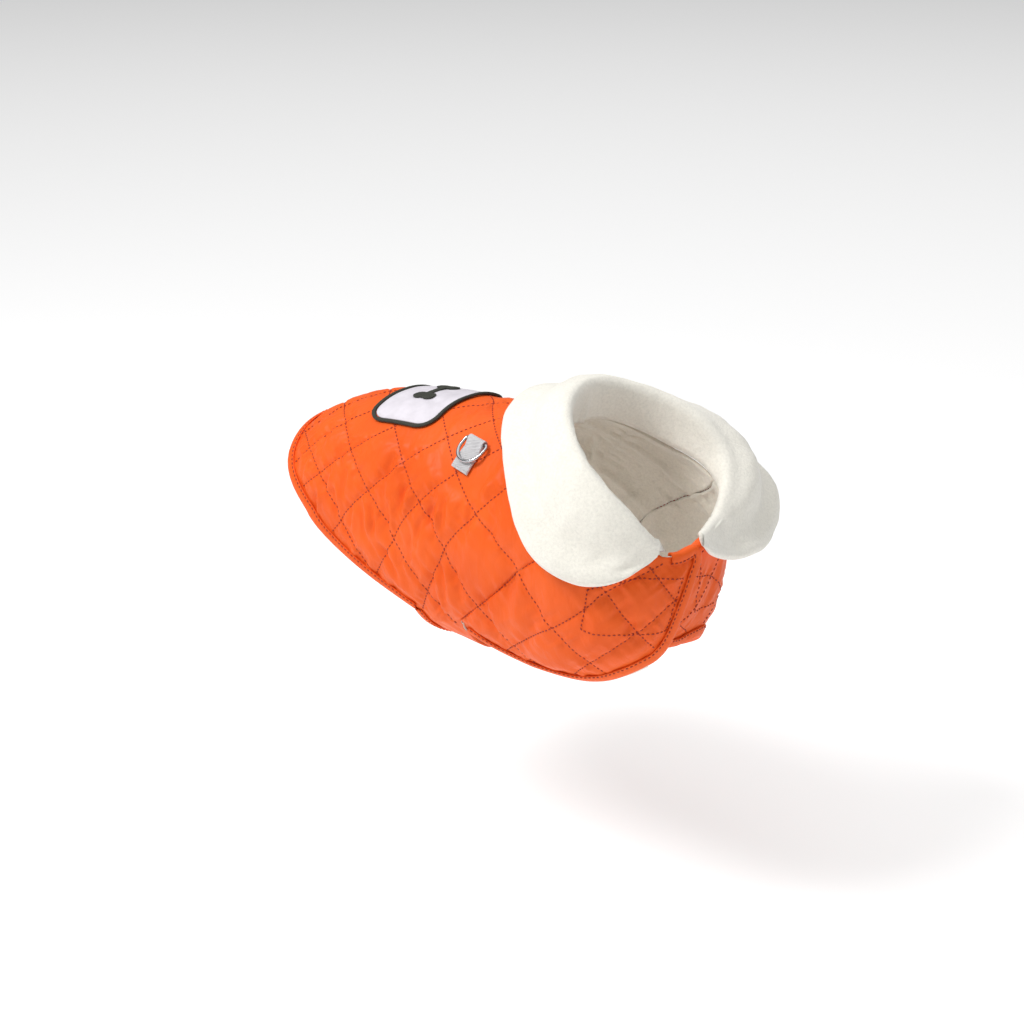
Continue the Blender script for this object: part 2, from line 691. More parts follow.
def plain_net(low, high, spacing=2.2):
    a = np.arange(low[0], high[0], spacing)
    r = np.arange(low[1], high[1], spacing)
    return np.stack([g.ravel() for g in np.meshgrid(a, r, indexing="ij")], -1)


def belly_strap(node, side):
    run = inset(strap_run(side), 1)
    root = STRAP_ROOT + 0.15
    corners = [(STRAP_FRONT - 0.5, side * root), (STRAP_REAR + 0.5, side * root)]
    outline = np.vstack([run, corners if side < 0 else corners[::-1]])
    low = (STRAP_REAR, min(side * root, side * 290))
    high = (STRAP_FRONT, max(side * root, side * 290))
    level = strap_level(side)

    def height(points):
        border = smooth(0.5, 7, distance_to_run(run, points))
        bend = wave(points[:, 1] / 24 + points[:, 0] / 60, 21)
        return level(points) + border * (0.22 * ripples(points, 7) + 0.25 * bend - 0.2)

    return shell_panel(node, outline, plain_net(low, high), height)


belly_strap_right = belly_strap("belly_strap_right", -1)
belly_strap_left = belly_strap("belly_strap_left", 1)


def tape_material():
    """Black hook-and-loop tape: a matt mat of tiny loops."""
    material, shader, place_in = new_material("black_tape", {
        "Base Color": (0.012, 0.012, 0.014, 1), "Roughness": 0.85, "Sheen Weight": 0.3,
    })
    loops = add_node(material, "ShaderNodeTexVoronoi", {"Scale": 1500}, {"Vector": place_in})
    bump = relief(material, loops.outputs["Distance"], 0.8, 0.0004)
    material.node_tree.links.new(bump, shader.inputs["Normal"])
    return material


def slab(name, outline, net, low, high, bevel=0.25):
    """A flat piece of even thickness that lies on the form, with its edge rounded."""
    flat, faces = cut_sheet(np.asarray(outline, float), net)
    piece = new_mesh(name, place(flat[:, 0], flat[:, 1], high(flat)), faces)
    wall = piece.modifiers.new("thickness", "SOLIDIFY")
    wall.thickness = (float(np.mean(high(flat))) - low) * 0.001
    wall.offset = -1
    edge = piece.modifiers.new("rounded edge", "BEVEL")
    edge.width = bevel * 0.001
    edge.segments = 2
    edge.limit_method = "ANGLE"
    edge.angle_limit = math.radians(50)
    return piece


def rounded_rectangle(from_x, to_x, from_y, to_y, radius, steps=8):
    corners = [
        (to_x - radius, from_y + radius, -90), (to_x - radius, to_y - radius, 0),
        (from_x + radius, to_y - radius, 90), (from_x + radius, from_y + radius, 180),
    ]
    return np.array([
        (x + radius * math.cos(math.radians(start + 90 * k / steps)),
         y + radius * math.sin(math.radians(start + 90 * k / steps)))
        for x, y, start in corners for k in range(steps + 1)
    ])


tape = tape_material()
pad_outline = rounded_rectangle(
    PAD_BELLY["rear"], PAD_BELLY["front"], -PAD_BELLY["to"], -PAD_BELLY["from"], 4,
)
pad_net = plain_net((-44, -192), (-8, -159), 2)
for node, low, high in (("belly_hook_pad", -4.2, -2.6), ("belly_loop_pad", -6.0, -4.6)):
    pad = slab(node + "_tape", pad_outline, pad_net, low, lambda p, h=high: np.full(len(p), h))
    pad.data.materials.append(tape)
    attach(pad, "coat")
    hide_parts(node)


# Edge bindings
# A folded strip of the same nylon round each raw edge, a little puffed between the edge and the
# stitching that draws its inner side down.

BINDING_WIDTH = 5.4
BINDING_CLOTH = 0.8
BINDING_EASE = {"top": 0.55, "bottom": 0.95}


def binding_rows(level, s):
    """Depth and height of the strip's outer and inner side at each point of its section."""
    slack = abs(level) * 0.1
    top = level + BINDING_EASE["top"] + slack * 0.6 + BINDING_CLOTH
    bottom = level - SHELL - BINDING_EASE["bottom"] - slack - BINDING_CLOTH
    middle = (top + bottom) / 2
    half = (top - bottom) / 2
    outer = []
    for depth in (BINDING_WIDTH, 4.9, 4.3, 3.6, 2.8, 2.0, 1.2, 0.5):
        dip = 0.45 * math.exp(-((depth - 4.5) / 0.55) ** 2)
        rise = 0.35 * math.sin(math.pi * min(max((4.4 - depth) / 5.4, 0), 1))
        pucker = 0.16 * s * math.exp(-((depth - 3.4) / 1.3) ** 2)
        outer.append((depth, top - dip * 0.7 + rise + pucker))
    for turn in range(1, 8):
        angle = math.pi / 2 + math.pi * turn / 8
        outer.append((0.4 + 1.55 * math.cos(angle), middle + half * math.sin(angle)))
    outer.extend((depth, bottom) for depth in (0.5, 2.0, 3.7, BINDING_WIDTH))
    inner = [
        (BINDING_WIDTH, bottom + BINDING_CLOTH), (1.0, bottom + BINDING_CLOTH),
        (0.1, middle), (1.0, top - BINDING_CLOTH), (BINDING_WIDTH, top - BINDING_CLOTH - 0.3),
    ]
    return np.array(outer + inner)


def strip_faces(rings, size):
    faces = []
    for i in range(rings - 1):
        for k in range(size):
            a, b = i * size + k, i * size + (k + 1) % size
            faces.append((a, b, b + size, a + size))
    faces.append(tuple(range(size))[::-1])
    faces.append(tuple((rings - 1) * size + k for k in range(size)))
    return faces


def bound_edge(node, run, level, seed):
    run = resampled(run, 1.5)
    levels = level(run)
    along = np.arange(len(run)) * 1.5
    uneven = wave(along / 7.5, seed)
    rows = [binding_rows(levels[i], uneven[i]) for i in range(len(run))]
    size = len(rows[0])
    points = np.empty((len(run), size, 3))
    for k in range(size):
        shifted = inset(run, np.array([row[k, 0] for row in rows]))
        points[:, k] = place(shifted[:, 0], shifted[:, 1], np.array([row[k, 1] for row in rows]))
    piece = new_mesh(node + "_strip", points.reshape(-1, 3), strip_faces(len(run), size))
    face_out(piece)
    piece.data.materials.append(nylon_trim)
    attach(piece, "coat")
    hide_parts(node)
    return piece


def face_out(piece):
    """Turns every face of a closed mesh outwards."""
    mesh = piece.data
    bm = bmesh.new()
    bm.from_mesh(mesh)
    bmesh.ops.recalc_face_normals(bm, faces=bm.faces)
    bm.to_mesh(mesh)
    bm.free()


nylon_trim = nylon.copy()
nylon_trim.name = "orange_binding"

hem_binding = bound_edge("hem_binding", hem_all, flat_level, 31)
chest_binding_right = bound_edge("chest_binding_right", flap_edge_right[:-2], flat_level, 32)
chest_binding_left = bound_edge("chest_binding_left", flap_edge_left[2:], under_level, 33)
for node, side in (("strap_binding_right", -1), ("strap_binding_left", 1)):
    run = strap_run(side)
    bound_edge(node, run[run[:, 0] < STRAP_FRONT - 8], strap_level(side), 34 + side)


# Collar
# Doubled cream fleece, turned down over its own stand, with a stuffed rolled rim round the
# free edge and a shallow dish inside it. Sections run from the wearer's right tip over the
# nape to the left tip; the left wing stands off the shoulder.

# neck along, neck around; roll x, y, z; free edge x, y, z; bow of the fall
COLLAR = np.array([
    (135, -79, 124.3, -38, -41, 125.6, -40, -47.5, 1.5),
    (128, -78, 123.6, -42, -39, 123, -47, -51.5, 2),
    (118, -76, 119.5, -47, -31.5, 113, -58.5, -60, 3),
    (106, -73, 113, -51.5, -22, 97, -68, -64.5, 4.5),
    (90, -68, 102, -55.5, -10.5, 79, -73.5, -60.5, 5.5),
    (74, -61, 87, -55.5, 2, 60, -72.5, -50.5, 5.5),
    (60, -52, 70, -46.5, 13.5, 42, -65, -31, 5),
    (46, -38, 56, -33, 22, 24, -51, -11, 4.5),
    (37, -20, 47, -17, 27, 8, -31, 6, 4),
    (34, 0, 44, 0, 29, 1, 0, 12.5, 4),
    (37, 20, 47, 17, 27, 6, 30, 6, 4),
    (46, 38, 57, 34, 21, 23, 60, -14, 5),
    (60, 52, 70, 47, 13, 50, 87, -29, 7),
    (74, 61, 86, 55, 2, 80, 107, -41, 9),
    (90, 68, 101, 57, -14, 103, 105, -54, 10),
    (106, 73, 110.5, 49, -25, 117.5, 89.5, -66.5, 9),
    (118, 76, 115.5, 40, -32.5, 127.5, 66.5, -72.5, 7),
    (128, 78, 118.5, 31.5, -38.5, 133, 40.5, -69.5, 4),
    (135, 79, 120.5, 24, -43, 134.5, 21, -65, 2.5),
    (147, 75.3, 125.5, 10, -44.5, 137, 0, -55.5, 1.5),
    (158, 72, 130, -3.5, -45.5, 136, -9, -47.5, 1),
])
SHELL_ROWS = 19
FLEECE = 2.0
RIM = 3.4
RIM_WIDTH = 14.0
RIM_LIFT = 3.0
DISH_DEPTH = 2.2
COLLAR_SECTIONS = 190
COLLAR_SIDE = 34

collar_keys = np.linspace(0, len(COLLAR) - 1, COLLAR_SECTIONS)
collar_rows = np.stack([
    ease_through(np.arange(len(COLLAR)), COLLAR[:, k], collar_keys) for k in range(9)
], -1)
neck_at = inset(collar_rows[:, :2], -2.8 - 2 * smooth(SHELL_ROWS - 1, SHELL_ROWS - 0.5, collar_keys))
stand_foot = place(neck_at[:, 0], neck_at[:, 1], np.full(COLLAR_SECTIONS, -1.0))
roll = collar_rows[:, 2:5]
free_edge = collar_rows[:, 5:8]
NECK_CENTRE = 92


def unit(v):
    return v / np.linalg.norm(v, axis=-1, keepdims=True)


roll_tangent = unit(np.gradient(roll, axis=0))
fall = free_edge - roll
fall_length = np.linalg.norm(fall, axis=1)
fall_out = unit(np.cross(fall, roll_tangent))
facing = fall_out[:, 0] * (roll[:, 0] - NECK_CENTRE) + fall_out[:, 1] * roll[:, 1]
fall_out *= np.where(facing < 0, -1, 1)[:, None]
collar_scale = np.minimum(fall_length / 60, 1)
bow = collar_rows[:, 8] * collar_scale


def collar_middle(i):
    """The middle line of one section: up the stand, over the roll, down to the free edge."""
    s = collar_scale[i]
    stand = lambda t, o: stand_foot[i] * (1 - t) + roll[i] * t + fall_out[i] * o * s
    down = lambda t, o: roll[i] + fall[i] * t + fall_out[i] * o
    return np.array([
        stand_foot[i], stand(0.7, -1.5), stand(1, 0.6), down(0.12, 4.2 * s), down(0.3, bow[i] + s),
        down(0.62, bow[i] * 0.55), down(0.8, bow[i] * 0.45), free_edge[i] + unit(fall[i]) * 1.8,
    ])


def collar_mesh():
    rings = []
    reach = []
    for i in range(COLLAR_SECTIONS):
        middle = through(collar_middle(i), 0.5)
        steps = np.linalg.norm(np.diff(middle, axis=0), axis=1)
        length = np.concatenate([[0], np.cumsum(steps)])
        total = length[-1]
        even = np.linspace(0, 1, COLLAR_SIDE)
        spread = np.sin(even * (math.pi / 2)) * 0.55 + even * 0.45
        at = total * spread / spread[-1]
        line = np.stack([np.interp(at, length, middle[:, k]) for k in range(3)], -1)
        across = unit(np.cross(np.gradient(line, axis=0), roll_tangent[i]))
        from_edge = total - at
        reach.append(np.concatenate([from_edge, from_edge[::-1]]))
        rim_size = RIM * min(1, fall_length[i] / 26)
        rim_width = RIM_WIDTH * min(1, fall_length[i] / 50)
        swell = np.sin(math.pi * np.clip(from_edge / rim_width, 0, 1) ** 0.7)
        half = FLEECE + (rim_size - FLEECE) * swell
        half -= 0.7 * np.exp(-((from_edge - rim_width) / 2.4) ** 2) * min(1, fall_length[i] / 40)
        tip = np.clip(from_edge / 2.6, 0, 1)
        half *= np.sqrt(np.maximum(1 - (1 - tip) ** 2, 0.0004))
        half[0] *= 0.75
        rings.append(np.vstack([line + across * half[:, None], (line - across * half[:, None])[::-1]]))
    points = np.array(rings)
    lumps = collar_lumps(points, np.array(reach))
    size = points.shape[1]
    piece = new_mesh("collar_fleece", (points + lumps).reshape(-1, 3), strip_faces(COLLAR_SECTIONS, size))
    face_out(piece)
    return piece


def collar_lumps(points, rim_reach):
    """The raised rim and the dish inside it, hand-placed waves, and the fleece's uneven loft."""
    rng = np.random.default_rng(41)
    total = np.zeros(points.shape[:2])
    for _ in range(22):
        direction = unit(rng.normal(size=3))
        size = rng.uniform(7, 20)
        total += size / 20 * np.sin(points @ direction / size * 2 * math.pi + rng.uniform(0, 6.28))
    total *= 0.2 / math.sqrt(22) * 2.2
    outward = fall_out[:, None, :]
    falling = np.linspace(0, 1, COLLAR_SIDE)
    weight = np.concatenate([falling, falling[::-1]])[None, :]
    broad = np.zeros(points.shape[:2])
    wide = smooth(24, 56, fall_length)[:, None]
    lift = RIM_LIFT * smooth(19, 10.5, rim_reach) * smooth(0, 6, rim_reach)
    lift -= DISH_DEPTH * np.exp(-((rim_reach - 23) / 8) ** 2)
    broad += lift * wide
    for key, width, depth in COLLAR_WAVES:
        broad += depth * np.exp(-((collar_keys[:, None] - key) / width) ** 2) * smooth(0.35, 0.9, weight)
    return outward * (total * smooth(0.1, 0.4, weight) + broad)[..., None]


# where on the collar (section number), width, height of each broad wave of the fall
COLLAR_WAVES = [
    (2.2, 0.5, 0.8), (3.5, 0.6, -0.9), (5.0, 0.7, 0.9), (6.6, 0.5, -0.8), (8.0, 0.5, 0.7),
    (9.6, 0.6, -0.6), (11.2, 0.5, 0.9), (12.7, 0.6, -1.0), (14.2, 0.6, 0.9), (15.6, 0.5, -0.8),
    (16.6, 0.4, 0.6),
]

fleece = fleece_material("cream_fleece", (0.93, 0.90, 0.81))
collar = collar_mesh()
collar.data.materials.append(fleece)
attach(collar, "coat")
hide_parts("collar")

chest_hem = through(CHEST_HEM, 3)
lining_edge = chest_hem[(chest_hem[:, 0] > 52) & (chest_hem[:, 0] < 121)]
lining_outline = np.vstack([
    inset(mirrored(lining_edge), -8.5), inset(mirrored(lining_edge), 12)[::-1],
])
lining_strip = slab(
    "chest_lining_strip", lining_outline, plain_net((40, -190), (130, -130), 2), -5.3,
    lambda p: np.full(len(p), -4.2),
)
lining_strip.data.materials.append(fleece)
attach(lining_strip, "coat")
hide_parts("chest_lining")


# Badge
# A smooth light patch on the back with rounded corners, edged with dark piping. Its place for
# a picture holds a plain dark bone in satin stitch.

PIPING = {"across": 1.5, "up": 1.1, "centre": 1.5}
MOTIF = {"along": -77, "lobe": 4.6, "spread": 3.8, "reach": 10}


def cloth_material(name, colour, roughness, scale, depth, strength):
    """Plain woven cloth: crossed threads in relief over an even dye."""
    material, shader, place_in = new_material(name, {"Roughness": roughness})
    cloud = noise(material, place_in, 90, 3)
    dye(material, shader, cloud, (0.3, tuple(c * 0.85 for c in colour)), (0.7, colour))
    both = material.node_tree.nodes.new("ShaderNodeMath")
    both.operation = "MAXIMUM"
    for k, direction in enumerate(("X", "Y")):
        values = {"Scale": scale, "Distortion": 0.4}
        thread = add_node(material, "ShaderNodeTexWave", values, {"Vector": place_in})
        thread.bands_direction = direction
        material.node_tree.links.new(thread.outputs["Fac"], both.inputs[k])
    bump = relief(material, both.outputs["Value"], strength, depth * 0.001)
    material.node_tree.links.new(bump, shader.inputs["Normal"])
    return material


def badge_loop(grow):
    return rounded_rectangle(
        BADGE["rear"] - grow, BADGE["front"] + grow, -BADGE["half"] - grow, BADGE["half"] + grow,
        BADGE["corner"] + grow,
    )


def badge_top(points):
    edge = distance_to_run(np.vstack([badge_loop(0), badge_loop(0)[:1]]), points)
    soft = 0.3 * wave(points[:, 1] / 26 + points[:, 0] / 90, 51) * smooth(2, 12, edge)
    return BADGE["high"] - 0.25 + 0.25 * smooth(0, 4, edge) + np.minimum(soft, 0.1) - 0.05


badge = slab(
    "badge_patch", badge_loop(0), plain_net((-103, -43), (-51, 43), 1.6), BADGE["low"], badge_top, 0.4,
)
badge.data.materials.append(cloth_material("badge_satin", (0.78, 0.74, 0.80), 0.45, 900, 0.1, 0.3))
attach(badge, "coat")
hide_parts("badge")

dark_cloth = cloth_material("dark_piping", (0.035, 0.038, 0.026), 0.7, 1300, 0.15, 0.6)
piping_path = badge_loop(PIPING["across"] + 0.45)
piping_path = resampled(np.vstack([piping_path, piping_path[:1]]), 1.5)[:-1]


def piping_mesh(sides=14):
    ahead = np.roll(piping_path, -1, axis=0) - np.roll(piping_path, 1, axis=0)
    ahead = unit(ahead)
    left = np.stack([-ahead[:, 1], ahead[:, 0]], -1)
    uneven = 1 + 0.04 * wave(np.arange(len(piping_path)) * 0.35, 52)
    points = []
    for k in range(sides):
        angle = 2 * math.pi * k / sides
        at = piping_path + left * (PIPING["across"] * 0.94 * math.cos(angle) * uneven)[:, None]
        height = PIPING["centre"] + PIPING["up"] * 0.94 * math.sin(angle) * uneven
        points.append(place(at[:, 0], at[:, 1], height))
    points = np.stack(points, 1).reshape(-1, 3)
    count = len(piping_path)
    faces = []
    for i in range(count):
        for k in range(sides):
            n, m = (i + 1) % count, (k + 1) % sides
            faces.append((i * sides + k, n * sides + k, n * sides + m, i * sides + m))
    piece = new_mesh("badge_piping_cord", points, faces)
    face_out(piece)
    return piece


piping = piping_mesh()
piping.data.materials.append(dark_cloth)
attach(piping, "coat")
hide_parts("badge_piping")


def bone_outline(steps=10):
    points = []
    for x, y, start, end in [(1, 1, -110, 130), (-1, 1, 50, 290), (-1, -1, 70, 310), (1, -1, 230, 470)]:
        for k in range(steps + 1):
            turn = math.radians(start + (end - start) * k / steps)
            points.append((
                MOTIF["along"] + x * MOTIF["spread"] + MOTIF["lobe"] * math.cos(turn),
                y * MOTIF["reach"] + MOTIF["lobe"] * math.sin(turn),
            ))
    return np.array(points)


def bone_top(points):
    loop = bone_outline()
    edge = distance_to_run(np.vstack([loop, loop[:1]]), points)
    thread = 0.05 * np.sin(points[:, 0] / 0.45 * 2 * math.pi)
    return BADGE["high"] + 0.35 + 0.45 + 0.35 * np.sqrt(smooth(0, 3, edge)) + thread * smooth(0, 1, edge)


bone_net = plain_net((-92, -18), (-62, 18), 0.35)
motif = slab("badge_bone", bone_outline(), bone_net, BADGE["high"] + 0.35, bone_top, 0.15)
motif.data.materials.append(dark_cloth)
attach(motif, "coat")
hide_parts("badge_motif")


# Ring tab and lead ring
# A folded piece of light ribbed webbing, sewn to the back, with a plated D-shaped ring in its
# fold. The ring swings about its bar.

TAB = {"tilt": -0.22, "half": 6.9, "top": -9.7, "end": 12, "web": 1.0, "low": 0.7}
RING = {"wire": 1.05, "half": 9.6, "straight": 5.5, "corner": 2.2, "tilt": 0.8}


def tab_point(across, down, out):
    length = math.hypot(1, TAB["tilt"])
    along = TAB_AT[0] + (across + TAB["tilt"] * down) / length
    around = TAB_AT[1] + (across * TAB["tilt"] - down) / length
    return place(along, around, out)


def tab_section():
    """Side view of the folded webbing: down the back layer, round the ring, over the front."""
    low, web, top = TAB["low"], TAB["web"], TAB["top"]
    eye = RING["wire"] + 0.3
    bend = eye + web
    centre = low + bend
    outer = [(TAB["end"] - 0.25, low + 2 * web - 0.3), (TAB["end"] - 0.9, low + 2 * web)]
    outer += [(d, low + 2 * web) for d in np.linspace(TAB["end"] - 2, top + 6.2, 12)]
    outer += [
        (top + bend * math.cos(math.radians(a)), centre + bend * math.sin(math.radians(a)))
        for a in np.linspace(50, 270, 16)
    ]
    outer += [(d, low) for d in np.linspace(top + 1.5, TAB["end"] - 0.6, 14)]
    outer += [(TAB["end"], low + 0.3), (TAB["end"], low + 1.3)]
    return np.array(outer), (top, centre, eye)


def tab_mesh():
    outer, (top, centre, eye) = tab_section()
    hole = np.array([
        (top + eye * math.cos(math.radians(a)), centre + eye * math.sin(math.radians(a)))
        for a in np.linspace(0, 360, 24, endpoint=False)
    ])
    points = [Vector(p) for p in np.vstack([outer, hole])]
    rim = list(range(len(outer)))
    eye_loop = list(range(len(outer), len(points)))[::-1]
    edges = [(a, b) for a, b in zip(rim, rim[1:] + rim[:1])]
    edges += [(a, b) for a, b in zip(eye_loop, eye_loop[1:] + eye_loop[:1])]
    flat, _, faces, *_ = delaunay_2d_cdt(points, edges, [], 1, 1e-5)
    flat = np.array([(p.x, p.y) for p in flat])
    middle = np.array([flat[list(f)].mean(axis=0) for f in faces])
    keep = np.linalg.norm(middle - (top, centre), axis=1) > eye * 0.99
    faces = [f for f, k in zip(faces, keep) if k]
    widths = np.array([-1, -0.93, -0.5, 0, 0.5, 0.93, 1]) * TAB["half"]
    count = len(flat)
    centre_out = TAB["low"] + TAB["web"]
    layers = []
    for n, width in enumerate(widths):
        pinch = 0.72 if n in (0, len(widths) - 1) else 1
        out = np.where(flat[:, 0] > top + 6, centre_out + (flat[:, 1] - centre_out) * pinch, flat[:, 1])
        layers.append(tab_point(np.full(count, width), flat[:, 0], out))
    last = (len(widths) - 1) * count
    solid = [tuple(f) for f in faces]
    solid += [tuple(last + v for v in f[::-1]) for f in faces]
    for loop in (rim, eye_loop):
        for a, b in zip(loop, loop[1:] + loop[:1]):
            for n in range(len(widths) - 1):
                solid.append((n * count + a, n * count + b, (n + 1) * count + b, (n + 1) * count + a))
    piece = new_mesh("ring_tab_webbing", np.vstack(layers), solid)
    face_out(piece)
    return piece


tab = tab_mesh()
tab.data.materials.append(cloth_material("grey_webbing", (0.62, 0.61, 0.62), 0.6, 420, 0.35, 0.7))
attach(tab, "coat")
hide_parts("ring_tab")


def metal_material():
    """Nickel plate with faint rubbing."""
    material, shader, place_in = new_material(
        "plated_ring", {"Base Color": (0.5, 0.5, 0.52, 1), "Metallic": 1},
    )
    rubbed = noise(material, place_in, 400)
    gloss = add_node(
        material, "ShaderNodeMapRange", {"To Min": 0.12, "To Max": 0.28}, {"Value": rubbed},
    )
    material.node_tree.links.new(gloss.outputs["Result"], shader.inputs["Roughness"])
    return material


def ring_mesh(sides=16):
    out = TAB["low"] + RING["wire"] + 0.3 + TAB["web"]
    at = lambda across, down, o: tab_point(np.array([across]), np.array([down]), np.array([o]))[0]
    centre = at(0, TAB["top"], out)
    bar = unit(at(4, TAB["top"], out) - at(-4, TAB["top"], out))
    up = unit(at(0, TAB["top"], out + 5) - centre)
    down = np.cross(up, bar)
    down *= -1 if down[2] > 0 else 1
    down = unit(down)
    tilt = math.radians(RING["tilt"])
    bow_way = down * math.cos(tilt) - up * math.sin(tilt)
    lift = unit(np.cross(bar, bow_way))
    r, half = RING["corner"], RING["half"]
    corner = lambda x, y, radius, a, b: [
        (x + radius * math.cos(math.radians(t)), y + radius * math.sin(math.radians(t)))
        for t in np.linspace(a, b, max(6, int(abs(b - a) / 6)))
    ]
    path = [(-(half - r), 0)] + corner(half - r, r, r, -90, 0) + corner(0, RING["straight"], half, 0, 180)
    path += corner(-(half - r), r, r, 180, 270)[:-1]
    path = resampled(np.vstack([path, path[:1]]), 0.8)[:-1]
    ahead = unit(np.roll(path, -1, axis=0) - np.roll(path, 1, axis=0))
    count = len(path)
    points = []
    for i in range(count):
        for k in range(sides):
            angle = 2 * math.pi * k / sides
            side = RING["wire"] * math.cos(angle)
            x, y = path[i] + np.array([-ahead[i, 1], ahead[i, 0]]) * side
            points.append(centre + bar * x + bow_way * y + lift * RING["wire"] * math.sin(angle))
    faces = []
    for i in range(count):
        here, ahead_ring = i * sides, (i + 1) % count * sides
        for k in range(sides):
            m = (k + 1) % sides
            faces.append((here + k, ahead_ring + k, ahead_ring + m, here + m))
    piece = new_mesh("lead_ring_wire", points, faces)
    face_out(piece)
    return piece


ring = ring_mesh()
ring.data.materials.append(metal_material())
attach(ring, "ring")
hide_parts("lead_ring")


# Stitching
# Lockstitch in dark red-brown thread along every quilting line, along the bindings, round the
# tapes' rectangles on the chest and across the webbing tab.

STITCH = {"pitch": 3.0, "length": 1.9, "radius": 0.48}


def stitch_tree():
    """Rows of short stitches set end to end along curves."""
    tree = bpy.data.node_groups.new("rows of stitches", "GeometryNodeTree")
    face = tree.interface
    face.new_socket("Curves", in_out="INPUT", socket_type="NodeSocketGeometry")
    for name in ("Pitch", "Length", "Radius"):
        face.new_socket(name, in_out="INPUT", socket_type="NodeSocketFloat")
    face.new_socket("Thread", in_out="INPUT", socket_type="NodeSocketMaterial")
    face.new_socket("Stitches", in_out="OUTPUT", socket_type="NodeSocketGeometry")
    nodes, links = tree.nodes, tree.links
    given = nodes.new("NodeGroupInput")
    result = nodes.new("NodeGroupOutput")
    spaced = nodes.new("GeometryNodeResampleCurve")
    spaced.mode = "LENGTH"
    bead = nodes.new("GeometryNodeMeshUVSphere")
    bead.inputs["Segments"].default_value = 6
    bead.inputs["Rings"].default_value = 4
    bead.inputs["Radius"].default_value = 1
    size = nodes.new("ShaderNodeCombineXYZ")
    halved = nodes.new("ShaderNodeMath")
    halved.operation = "MULTIPLY"
    halved.inputs[1].default_value = 0.5
    tangent = nodes.new("GeometryNodeInputTangent")
    turn = nodes.new("FunctionNodeAlignRotationToVector")
    turn.axis = "Z"
    row = nodes.new("GeometryNodeInstanceOnPoints")
    real = nodes.new("GeometryNodeRealizeInstances")
    shaded = nodes.new("GeometryNodeSetShadeSmooth")
    thread = nodes.new("GeometryNodeSetMaterial")
    links.new(given.outputs["Curves"], spaced.inputs["Curve"])
    links.new(given.outputs["Pitch"], spaced.inputs["Length"])
    links.new(given.outputs["Length"], halved.inputs[0])
    links.new(given.outputs["Radius"], size.inputs["X"])
    links.new(given.outputs["Radius"], size.inputs["Y"])
    links.new(halved.outputs["Value"], size.inputs["Z"])
    links.new(tangent.outputs["Tangent"], turn.inputs["Vector"])
    links.new(spaced.outputs["Curve"], row.inputs["Points"])
    links.new(bead.outputs["Mesh"], row.inputs["Instance"])
    links.new(turn.outputs["Rotation"], row.inputs["Rotation"])
    links.new(size.outputs["Vector"], row.inputs["Scale"])
    links.new(row.outputs["Instances"], real.inputs["Geometry"])
    links.new(real.outputs["Geometry"], shaded.inputs["Geometry"])
    links.new(shaded.outputs["Geometry"], thread.inputs["Geometry"])
    links.new(given.outputs["Thread"], thread.inputs["Material"])
    links.new(thread.outputs["Geometry"], result.inputs["Stitches"])
    return tree


def thread_material(name, colour):
    material, shader, place_in = new_material(
        name, {"Base Color": (*colour, 1), "Roughness": 0.55},
    )
    bump = relief(material, noise(material, place_in, 2400), 0.5, 0.0002)
    material.node_tree.links.new(bump, shader.inputs["Normal"])
    return material


rows_of_stitches = stitch_tree()
red_thread = thread_material("red_brown_thread", (0.36, 0.026, 0.006))
grey_thread = thread_material("grey_thread", (0.42, 0.41, 0.42))


def stitches(name, runs, thread, size=STITCH):
    """A mesh of stitches along the runs, which are world points in millimetres."""
    curve = bpy.data.curves.new(name, "CURVE")
    curve.dimensions = "3D"
    for run in runs:
        spline = curve.splines.new("POLY")
        spline.points.add(len(run) - 1)
        flat = np.hstack([run * 0.001, np.ones((len(run), 1))])
        spline.points.foreach_set("co", flat.ravel())
    route = bpy.data.objects.new(name, curve)
    bpy.context.collection.objects.link(route)
    build = route.modifiers.new("stitches", "NODES")
    build.node_group = rows_of_stitches
    values = {"Pitch": size["pitch"] * 0.001, "Length": size["length"] * 0.001,
              "Radius": size["radius"] * 0.001, "Thread": thread}
    for item in rows_of_stitches.interface.items_tree:
        if item.in_out == "INPUT" and item.name in values:
            build[item.identifier] = values[item.name]
    bpy.context.view_layer.update()
    result = route.evaluated_get(bpy.context.evaluated_depsgraph_get())
    mesh = bpy.data.meshes.new_from_object(result)
    bpy.data.objects.remove(route)
    piece = bpy.data.objects.new(name, mesh)
    bpy.context.collection.objects.link(piece)
    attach(piece, "coat")
    return piece


def quilt_runs(table, lines, other, side, outline, height, lift=0.12):
    """Each stitch line of one family, cut to the panel and laid on its surface."""
    runs = []
    for n in lines:
        span = np.arange(other[0], other[1], 0.02)
        fixed = np.full(len(span), float(n))
        pair = (fixed, span) if table is LINES_DOWN_FORWARD else (span, fixed)
        keep = pair[1] >= pair[0]
        if keep.sum() < 4:
            continue
        along, around = crossings(pair[0][keep], pair[1][keep])
        flat = np.stack([along, side * around], -1)
        within = inside(outline, flat) & (distance_to_run(np.vstack([outline, outline[:1]]), flat) > 1.2)
        for part in np.split(np.arange(len(flat)), np.where(np.diff(within.astype(int)) != 0)[0] + 1):
            if within[part[0]] and len(part) > 6:
                run = flat[part]
                runs.append(place(run[:, 0], run[:, 1], height(run) + lift))
    return runs


